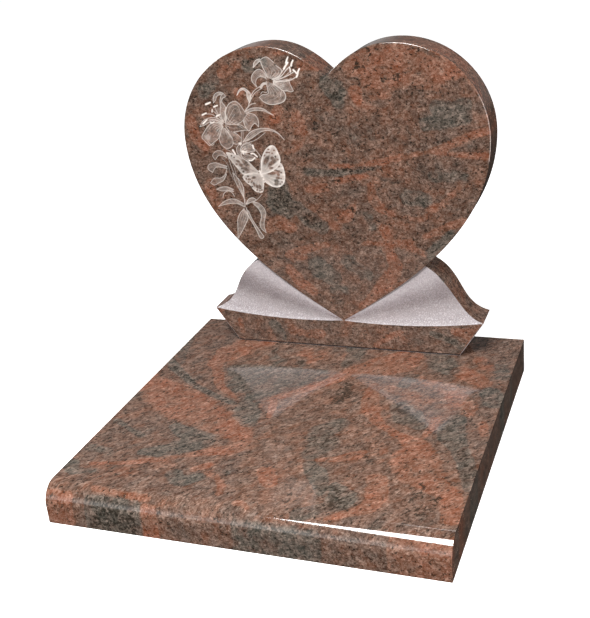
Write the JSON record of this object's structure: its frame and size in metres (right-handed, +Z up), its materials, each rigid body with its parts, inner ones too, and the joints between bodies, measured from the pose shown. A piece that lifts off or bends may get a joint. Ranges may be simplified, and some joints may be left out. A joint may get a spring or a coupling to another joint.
{
  "type": "heart headstone",
  "caption": "Polished red granite headstone: a heart carved in one with a winged base with frosted hollows, standing on a round-nosed ledger slab.",
  "frame": {"origin": "middle of the slab's underside", "axes": "+Z up, the carved face looks along -Y, +X to the viewer's right"},
  "size_m": [0.8, 0.8, 0.7868],
  "materials": {
    "slab_granite": "polished multicolour red granite, with grey lenses and orange veins",
    "heart_granite": "polished multicolour red granite, with frosted hollows in the wings and a frosted spray of flowers on the left lobe"
  },
  "bodies": {
    "root": {"ledger_slab": "slab_granite", "heart_stone": "heart_granite"}
  },
  "joints": []
}
